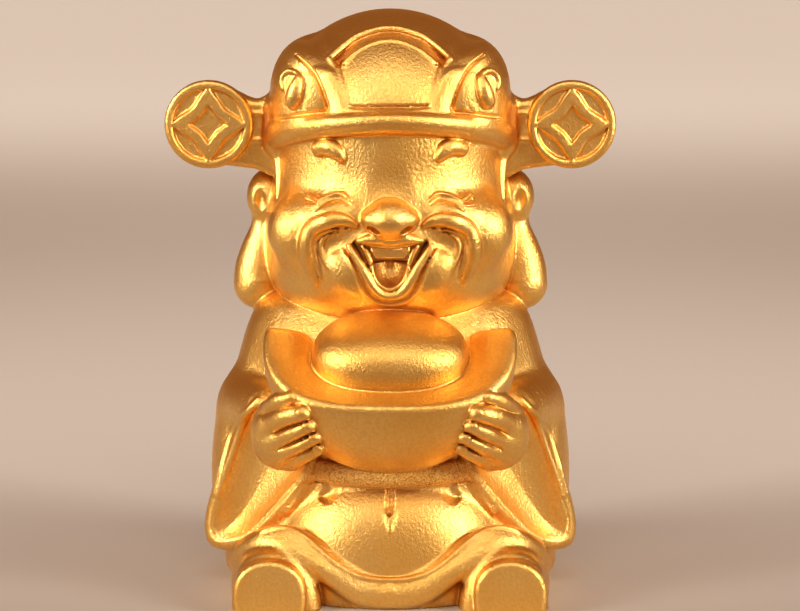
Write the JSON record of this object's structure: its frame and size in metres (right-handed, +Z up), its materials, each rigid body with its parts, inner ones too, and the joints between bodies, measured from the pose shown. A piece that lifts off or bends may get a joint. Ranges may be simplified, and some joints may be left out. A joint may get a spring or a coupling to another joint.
{
  "type": "caishen figure",
  "caption": "Seated laughing god-of-wealth figure in a court hat with coin-ended wings, holding a boat-shaped ingot before it; stands on its flat underside.",
  "frame": {"origin": "on the flat underside, in the middle of the figure's width and under the middle of its head", "axes": "+Z up, -Y is the way the figure faces, +X to the right of a viewer who faces it"},
  "size_m": [0.0778, 0.0578, 0.1],
  "materials": {
    "gold_lacquer": "metallic gold lacquer over a cast body, satin to glossy, with a fine brushed crinkle"
  },
  "bodies": {
    "root": {"caishen_figure": "gold_lacquer"}
  },
  "joints": []
}
